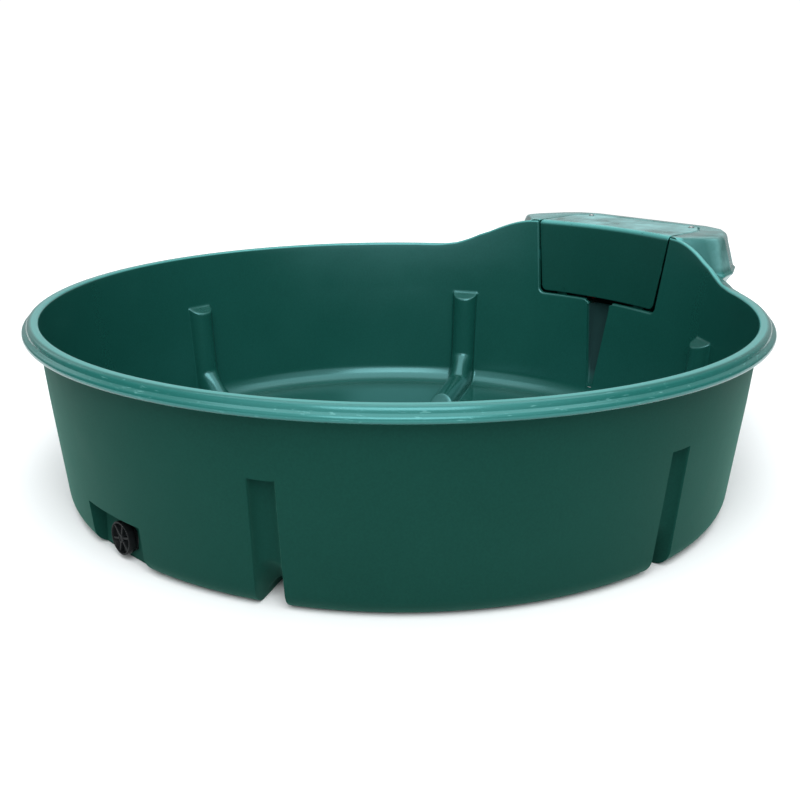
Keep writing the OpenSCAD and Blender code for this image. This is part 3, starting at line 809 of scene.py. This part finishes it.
def cover_rows():
    """Profile of the cover in its middle: (distance in from the wall, height), direction of
    its inner side, and how far the row is from the nearest end."""
    bend = COVER_BEND
    far = 99  # from an end, where the distance no longer matters
    low_ends = (0, 0.4, 1.1, 2.2, 3.5, 6, 9, 13, 18)
    rear_ends = (80, 72, 64, 56, 48, 40, 32, 25, 19, 14, 10, 7, 4.5, 3, 1.8, 0.9, 0.3, 0)
    rows = [(0.0, APRON_Z + e, 1.0, 0.0, e) for e in low_ends]
    rows += [(0.0, z, 1.0, 0.0, far) for z in np.linspace(APRON_Z + 24, 608, 24)]
    for t in np.radians(np.linspace(0, 90, 9)):
        z = BOX_TOP - bend + bend * math.sin(t)
        rows.append((bend - bend * math.cos(t), z, math.cos(t), -math.sin(t), far))
    reach = COVER_REAR - wall_in(BOX_TOP)
    rows += [(d, BOX_TOP, 0.0, -1.0, far) for d in np.linspace(bend + 4, reach - 90, 16)]
    rows += [(reach - e, BOX_TOP, 0.0, -1.0, e) for e in rear_ends]
    return rows


def cover_shell():
    """The cover's bent panel, with rounded outer edges."""
    edge = 3.6
    across = np.linspace(-1, 1, 41)
    turns = np.radians([90, 70, 50, 30, 12, 0])
    rings = []
    for d, z, nd, nz, end in cover_rows():
        e = min(end, edge)
        near = edge - math.sqrt(edge**2 - (edge - e) ** 2)
        far = COVER_T - 0.4 * near
        follow = 1 - smooth((d - 14) / 80)
        r0 = wall_in(min(z, BOX_TOP))
        half = cover_half_width(r0 + d - 37 * follow, z if d < 1 else BOX_TOP)
        round_edge = [(edge * math.cos(t), 1 - math.sin(t)) for t in turns]
        side = [(half - edge + x, near + (edge - near) * p) for x, p in round_edge]
        face = [(x, near) for x in across * (half - edge)]
        back = [(half, far - 1.2), (half - 1.2, far)]
        back += [(x, far) for x in across[::-1] * (half - 4)]
        back += [(1.2 - half, far), (-half, far - 1.2)]
        placed = []
        for x, p in [(-x, p) for x, p in side[::-1]] + face[1:-1] + side + back:
            drop = r0 - math.sqrt(r0 * r0 - x * x)
            placed.append((x, r0 + d - follow * drop + nd * p, z + nz * p))
        rings.append(placed)
    return loft("cover", rings)


def across_x(name, outline, middle, half):
    """A solid with an outline in (y, z), from middle - half to middle + half along X."""
    return loft(name, [[(middle + w, y, z) for y, z in outline] for w in (-half, half)])


def cover():
    """The cover with the tongues and webs behind its front panel, and its screw holes."""
    shell = cover_shell()
    for side in (-1, 1):
        x = side * TONGUE_X
        y = math.sqrt(wall_in(380) ** 2 - x * x)
        lean = LEAN * 40
        hook = [
            (y + 3, 388), (y + 3.4, 400), (y + 19 + lean / 2, 402), (y + 19, 380),
            (y + 18, 363.5), (y + 15.5, 362), (y + 13, 363.5), (y + 13, 388),
        ]
        combine(shell, across_x("tongue", hook, x, TONGUE_HALF), "UNION")
        web = [(1062, 627), (1004, 569), (1005, 600), (1007, 627)]
        combine(shell, across_x("web", web, side * WEB_X, WEB_HALF), "UNION")
    for side in (-1, 1):
        drill(shell, (side * SCREW[0], SCREW[1], 618), (0, 0, 1), SCREW_R, depth=20, sides=32)
    return shell


# ------------------------ drain plug

def spoke(turn):
    """A bar across the grip, at a turn in degrees from level."""
    bar = [(-4.2, 8), (-3.6, 15.4), (-2.6, 16.8), (2.6, 16.8), (3.6, 15.4), (4.2, 8)]
    a = math.radians(turn)
    rings = []
    for reach in (-SPOKE_REACH, SPOKE_REACH):
        ring = []
        for w, high in bar:
            x = reach * math.cos(a) - w * math.sin(a)
            z = reach * math.sin(a) + w * math.cos(a)
            ring.append((x, PLUG_Y - high, DRAIN_Z + z))
        rings.append(ring)
    return loft("spoke", rings)


def plug():
    """The plug: a hollow threaded body under a round head with a raised ring, bars and a hub.
    Each section is (distance out from the head's underside, radius)."""
    at = (0, PLUG_Y, DRAIN_Z)
    out = (0, -1, 0)
    head = [
        (-6, 0.5), (-6, 18.6), (-6.4, 19), (-36, 19), (-36, 24), (-35, 24.95), (-0.5, 24.95), (0, 25.4),
        (0, 42.4), (0.6, 43.5), (1.8, 44), (16.6, 44), (18.2, 43.4), (19, 42), (19, 40.2), (18.4, 38.8),
        (17, 38), (11.5, 37.4), (10.4, 36.8), (10, 35.6), (10, 0.5),
    ]
    hub = [
        (8, 0.5), (8, 12.6), (15.8, 12), (17.2, 11.2), (17.8, 9.8),
        (17.8, 7.8), (17.2, 6.8), (13, 6), (13, 0.5),
    ]
    body = revolve("plug", head, at, out, 128)
    for turn in SPOKE_TURNS:
        combine(body, spoke(turn), "UNION")
    combine(body, revolve("hub", hub, at, out, 64), "UNION")
    return body


# ------------------------ materials

class Tree:
    """A node tree, with short ways to add and join its nodes."""

    def __init__(self, tree):
        self.tree = tree

    def add(self, kind, sockets=(), **settings):
        node = self.tree.nodes.new(kind)
        for key, value in settings.items():
            setattr(node, key, value)
        for key, value in dict(sockets).items():
            self.put(node.inputs[key], value)
        return node

    def put(self, socket, value):
        if isinstance(value, bpy.types.NodeSocket):
            self.tree.links.new(value, socket)
        else:
            socket.default_value = value

    def ramp(self, value, low, high, out_low=0.0, out_high=1.0, **settings):
        return self.add("ShaderNodeMapRange", {
            "Value": value, "From Min": low, "From Max": high, "To Min": out_low, "To Max": out_high,
        }, **settings).outputs["Result"]

    def math(self, operation, a, b=0.0):
        return self.add("ShaderNodeMath", {0: a, 1: b}, operation=operation).outputs[0]

    def times(self, product, *others):
        for other in others:
            product = self.math("MULTIPLY", product, other)
        return product

    def mix(self, fac, a, b):
        node = self.add("ShaderNodeMix", data_type="RGBA")
        self.put(node.inputs[0], fac)
        self.put(node.inputs[6], a)
        self.put(node.inputs[7], b)
        return node.outputs[2]


class Nodes(Tree):
    """A material's nodes. Their patterns follow the object's own coordinates, in metres."""

    def __init__(self, name, metallic=0.0, specular=0.5):
        self.material = bpy.data.materials.new(name)
        self.material.use_nodes = True
        super().__init__(self.material.node_tree)
        self.shader = self.tree.nodes["Principled BSDF"]
        self.set("Metallic", metallic)
        self.set("Specular IOR Level", specular)
        self.set("IOR", 1.5)
        self.place = self.add("ShaderNodeTexCoord").outputs["Object"]

    def noise(self, scale, detail=3.0, rough=0.5, stretch=None):
        place = self.place
        if stretch:
            place = self.add("ShaderNodeMapping", {"Vector": place, "Scale": stretch}).outputs[0]
        return self.add("ShaderNodeTexNoise", {
            "Vector": place, "Scale": scale, "Detail": detail, "Roughness": rough,
        }).outputs["Fac"]

    def bump(self, height, distance, strength=1.0, normal=None):
        sockets = {"Height": height, "Distance": distance, "Strength": strength}
        if normal is not None:
            sockets["Normal"] = normal
        return self.add("ShaderNodeBump", sockets).outputs[0]

    def axis(self, source, name):
        return self.add("ShaderNodeSeparateXYZ", {0: source}).outputs[name]

    def distance(self, across=(1.0, 1.0, 1.0)):
        """Distance from the origin, counting each axis by its share in across."""
        sockets = {0: self.place, 1: across}
        place = self.add("ShaderNodeVectorMath", sockets, operation="MULTIPLY").outputs[0]
        return self.add("ShaderNodeVectorMath", {0: place}, operation="LENGTH").outputs["Value"]

    def set(self, name, value):
        self.put(self.shader.inputs[name], value)


def mottled(n, deep, pale):
    """Slow clouds between two greens, with a fine paler grain."""
    cloud = n.ramp(n.noise(2.6, 5, 0.55), 0.15, 0.85)
    grain = n.ramp(n.noise(160, 3, 0.6), 0.35, 0.65)
    color = n.mix(cloud, (*deep, 1), (*pale, 1))
    return n.mix(n.times(grain, 0.2), color, (*[c * 1.5 for c in pale], 1))


def dust_and_side_light_share(n, up, y, high):
    """Where dust lies on what is flat and high; on the service box's upper sides the same colour,
    thinner, is painted light.
    """
    blotch = n.ramp(n.noise(9, 6, 0.62), 0.36, 0.72, 0.2, 1.0)
    flat = n.times(n.ramp(up, 0.8, 0.99), n.ramp(high, 0.53, 0.6))
    # Painted light: the service box's upper sides made paler as if lit from the side
    side = n.times(n.ramp(y, 1.03, 1.06), n.ramp(high, 0.52, 0.54))
    return n.times(n.math("MAXIMUM", flat, n.times(side, 0.75)), blotch)


def rim_wear_and_painted_highlights(n, color, up, high, behind):
    """Painted highlights, a paler band round the lip and paler top edges where they catch the light,
    and worn streaks on the band.
    """
    lip_z = 0.508
    off_lip = n.math("ABSOLUTE", n.math("SUBTRACT", high, lip_z))
    band = n.times(n.ramp(n.distance((1.0, 1.0, 0.0)), 1.004, 1.008), n.ramp(off_lip, 0.02, 0.012))
    # Painted highlight: a paler band round the lip where it catches the light
    color = n.mix(n.times(band, 0.2), color, LIP_HIGHLIGHT)
    # Painted highlight on top edges that face up: the rim's inner edge, the raised wall and the cover's
    # bend
    on_wall = n.ramp(behind, (WALL_IN + 25) * MM, (WALL_IN + 17) * MM)
    top_edge = n.times(n.ramp(up, 0.25, 0.75), on_wall)
    color = n.mix(n.times(top_edge, n.ramp(high, 0.5, 0.51), 0.5), color, EDGE_HIGHLIGHT)
    streak = n.ramp(n.noise(30, 4, 0.6, stretch=(1.0, 1.0, 7.0)), 0.62, 0.7)
    return n.mix(n.times(streak, band, 0.35), color, WORN)


def painted_shade_share(n, x, y, high, behind, painted_shade_strength):
    """Where painted shade darkens the spill channel: sunk into the wall, and between the channel's
    sides.
    """
    level = n.math("SUBTRACT", high, SPILL_LOW * MM)
    wide = n.math("SUBTRACT", n.math("ABSOLUTE", x), n.times(level, SPILL_GROW))
    deep_in = n.math("SUBTRACT", behind, n.times(level, SPILL_DEEPEN))
    face = n.ramp(behind, (WALL_IN + 3) * MM, (WALL_IN + 12) * MM)
    bottom = n.ramp(deep_in, (WALL_IN + 7) * MM, (WALL_IN + 4) * MM)
    sides = n.ramp(wide, (SPILL_HALF + 4) * MM, (SPILL_HALF + 2) * MM)
    rear_half = n.math("GREATER_THAN", y, 0.0)
    below_slot = n.ramp(high, 0.362, 0.355, 0.0, painted_shade_strength)
    return n.times(n.times(face, bottom), n.times(sides, rear_half), below_slot)


def polyethylene(name, deep, pale, gloss, dust_and_side_light_strength, specular, painted_shade_strength=0.0, sheen=0.0):
    """Moulded polyethylene: mottled green, orange peel, dust, wear on the rim, painted highlights on
    the lip and top edges, painted light on the service box's sides, and painted shade in the spill
    channel.
    """
    n = Nodes(name, specular=specular)
    n.set("Specular Tint", HIGHLIGHT)
    if sheen:
        n.set("Sheen Weight", sheen)
        n.set("Sheen Roughness", 0.45)
        n.set("Sheen Tint", SHEEN)
    x, y, high = (n.axis(n.place, letter) for letter in "XYZ")
    up = n.axis(n.add("ShaderNodeNewGeometry").outputs["Normal"], "Z")
    away = n.distance((1.0, 1.0, 0.0))
    behind = n.math("SUBTRACT", away, n.times(high, LEAN))
    powder_and_side_light = n.times(dust_and_side_light_share(n, up, y, high), dust_and_side_light_strength)
    color = n.mix(powder_and_side_light, mottled(n, deep, pale), DUST_AND_SIDE_LIGHT)
    color = rim_wear_and_painted_highlights(n, color, up, high, behind)
    painted_shade = painted_shade_share(n, x, y, high, behind, painted_shade_strength)
    # Painted shade darkens the spill channel
    n.set("Base Color", n.mix(painted_shade, color, PAINTED_SHADE))
    smear = n.ramp(n.noise(5.5, 4, 0.6), 0.1, 0.9, gloss - 0.04, gloss + 0.05)
    rough = n.math("ADD", smear, n.times(powder_and_side_light, 0.15))
    n.set("Roughness", n.math("ADD", rough, n.times(painted_shade, 0.8)))
    wave = n.bump(n.noise(7, 2, 0.5), 0.0016, 0.35)
    n.set("Normal", n.bump(n.noise(240, 2, 0.5), 0.00022, 0.4, wave))
    return n.material


def black_plastic():
    n = Nodes("black_plastic", specular=0.05)
    tone = n.ramp(n.noise(40, 4), 0.3, 0.7)
    n.set("Base Color", n.mix(tone, (0.0045, 0.0055, 0.006, 1), (0.01, 0.0115, 0.012, 1)))
    n.set("Roughness", n.ramp(n.noise(60, 3), 0.3, 0.7, 0.16, 0.24))
    n.set("Normal", n.bump(n.noise(700, 2), 0.00006, 0.4))
    return n.material


def rubber():
    n = Nodes("rubber", specular=0.35)
    n.set("Base Color", n.mix(n.noise(90, 3), (0.016, 0.016, 0.016, 1), (0.034, 0.034, 0.033, 1)))
    n.set("Roughness", n.ramp(n.noise(120, 2), 0.3, 0.7, 0.7, 0.85))
    n.set("Normal", n.bump(n.noise(900, 2), 0.00006, 0.5))
    return n.material


def metal(name, dark, bright, rough, stretch):
    n = Nodes(name, metallic=1.0)
    n.set("Base Color", n.mix(n.ramp(n.noise(45, 5, 0.6), 0.3, 0.7), (*dark, 1), (*bright, 1)))
    n.set("Roughness", n.ramp(n.noise(300, 3, 0.6, stretch), 0.3, 0.7, rough - 0.07, rough + 0.1))
    n.set("Normal", n.bump(n.noise(500, 2, 0.5, stretch), 0.00005, 0.35))
    return n.material


def nylon():
    n = Nodes("nylon", specular=0.4)
    n.set("Base Color", n.mix(n.noise(60, 3), (0.7, 0.7, 0.64, 1), (0.8, 0.8, 0.76, 1)))
    n.set("Roughness", n.ramp(n.noise(80, 2), 0.3, 0.7, 0.42, 0.55))
    n.set("Normal", n.bump(n.noise(600, 2), 0.00005, 0.3))
    return n.material


def float_plastic():
    n = Nodes("red_float", specular=0.5)
    tone = n.ramp(n.noise(14, 4), 0.3, 0.7)
    n.set("Base Color", n.mix(tone, (0.42, 0.02, 0.014, 1), (0.55, 0.035, 0.022, 1)))
    n.set("Roughness", n.ramp(n.noise(30, 3), 0.3, 0.7, 0.28, 0.4))
    n.set("Normal", n.bump(n.noise(260, 2), 0.0001, 0.4))
    return n.material


# ------------------------ studio

def camera():
    data = bpy.data.cameras.new("camera")
    cam = bpy.data.objects.new("camera", data)
    bpy.context.scene.collection.objects.link(cam)
    data.sensor_width = 36
    data.lens = CAMERA_LENS
    data.shift_x, data.shift_y = CAMERA_SHIFT
    data.clip_start = 0.1
    data.clip_end = 100
    cam.location = CAMERA_AT
    turn, low, roll = (math.radians(a) for a in (CAMERA_TURN, CAMERA_DIP, CAMERA_ROLL))
    level = math.cos(low)
    forward = Vector((-math.sin(turn) * level, math.cos(turn) * level, -math.sin(low)))
    cam.rotation_mode = "QUATERNION"
    cam.rotation_quaternion = forward.to_track_quat("-Z", "Y") @ Quaternion((0, 0, 1), roll)
    bpy.context.scene.camera = cam


def studio_floor():
    """A pale floor, which glows white far from the trough."""
    edge = FLOOR_R / MM
    circle = [(edge * math.cos(t), edge * math.sin(t), 0) for t in np.radians(range(0, 360, 5))]
    floor = make("floor", circle, [tuple(range(len(circle)))])
    paint = Nodes("floor_paint", specular=0.1)
    tone = paint.noise(1.5, 2)
    paint.set("Base Color", paint.mix(tone, (0.9, 0.9, 0.9, 1), (0.94, 0.94, 0.94, 1)))
    paint.set("Roughness", 0.8)
    paint.set("Emission Color", (1.0, 1.0, 1.0, 1))
    paint.set("Emission Strength", paint.ramp(paint.distance(), *FLOOR_GLOW))
    floor.data.materials.append(paint.material)


def sky():
    """A dim world with bright patches of sky. The camera sees a plain white backdrop instead."""
    world = bpy.data.worlds.new("studio")
    world.use_nodes = True
    n = Tree(world.node_tree)
    direction = n.add("ShaderNodeTexCoord").outputs["Generated"]
    bright = 0.0
    for towards, low, high, share in SKY:
        dot = n.add("ShaderNodeVectorMath", {0: direction, 1: towards}, operation="DOT_PRODUCT")
        patch = n.ramp(dot.outputs["Value"], low, high, 0.0, share, interpolation_type="SMOOTHSTEP")
        bright = n.math("MAXIMUM", bright, patch)
    light = n.mix(bright, SKY_DARK, SKY_BRIGHT)
    seen = n.mix(n.add("ShaderNodeLightPath").outputs["Is Camera Ray"], light, BACKDROP)
    n.put(n.tree.nodes["Background"].inputs["Color"], seen)
    bpy.context.scene.world = world


def lamps():
    """Soft lamps, all aimed at the trough."""
    for name, place, size, power in LAMPS:
        light = bpy.data.lights.new(name, "AREA")
        light.size = size
        light.energy = power
        light.color = LAMP_COLOR
        lamp = bpy.data.objects.new(name, light)
        lamp.location = place
        lamp.rotation_mode = "QUATERNION"
        aim = Vector(LAMP_AIM) - Vector(place)
        lamp.rotation_quaternion = aim.to_track_quat("-Z", "Y")
        bpy.context.scene.collection.objects.link(lamp)


# ------------------------ assembly

def main():
    bpy.context.scene.view_settings.view_transform = "Standard"
    camera()
    studio_floor()
    sky()
    lamps()
    green = polyethylene(
        "green_inside", (0.0044, 0.046, 0.0365), (0.0066, 0.059, 0.047),
        gloss=0.2, dust_and_side_light_strength=0.45, specular=0.8, painted_shade_strength=0.95,
    )
    # The outside copy of the green is darker than the inside: painted shade against the light that the
    # pale floor throws on the outer wall; its duller gloss is the finish.
    outside = polyethylene(
        "green_outside_shaded", (0.0036, 0.029, 0.0215), (0.0052, 0.037, 0.028),
        gloss=0.6, dust_and_side_light_strength=0, specular=0.05, sheen=0.12,
    )
    lid = polyethylene(
        "green_cover", (0.0034, 0.036, 0.0275), (0.005, 0.0455, 0.036),
        gloss=0.24, dust_and_side_light_strength=0.7, specular=0.5,
    )
    black = black_plastic()
    pieces = (
        (tank(green, outside), "tank", "tank_shell", "green_polyethylene", green),
        (cover(), "cover", "service_cover", "cover_polyethylene", lid),
        (plug(), "plug", "drain_plug", "black_plastic", black),
    )
    for piece, body, node, slot, material in pieces:
        finish_piece(piece, material)
        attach(piece, body)
        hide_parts(node)
    steel = metal("stainless_steel", (0.3, 0.31, 0.31), (0.46, 0.47, 0.47), 0.42, (1, 1, 8))
    finishes = {
        "stainless_steel": steel,
        "brass": metal("brass", (0.52, 0.36, 0.13), (0.72, 0.54, 0.24), 0.33, (1, 6, 1)),
        "nylon": nylon(),
        "black_plastic": black,
        "rubber": rubber(),
        "red_float": float_plastic(),
    }
    for part in frame["record"]["subparts"]:
        finish = finishes.get(part["material_slot"])
        node = bpy.data.objects.get(part["node"])
        if finish is None or node is None or node.type != "MESH":
            continue
        for slot in node.material_slots:
            slot.material = finish


main()
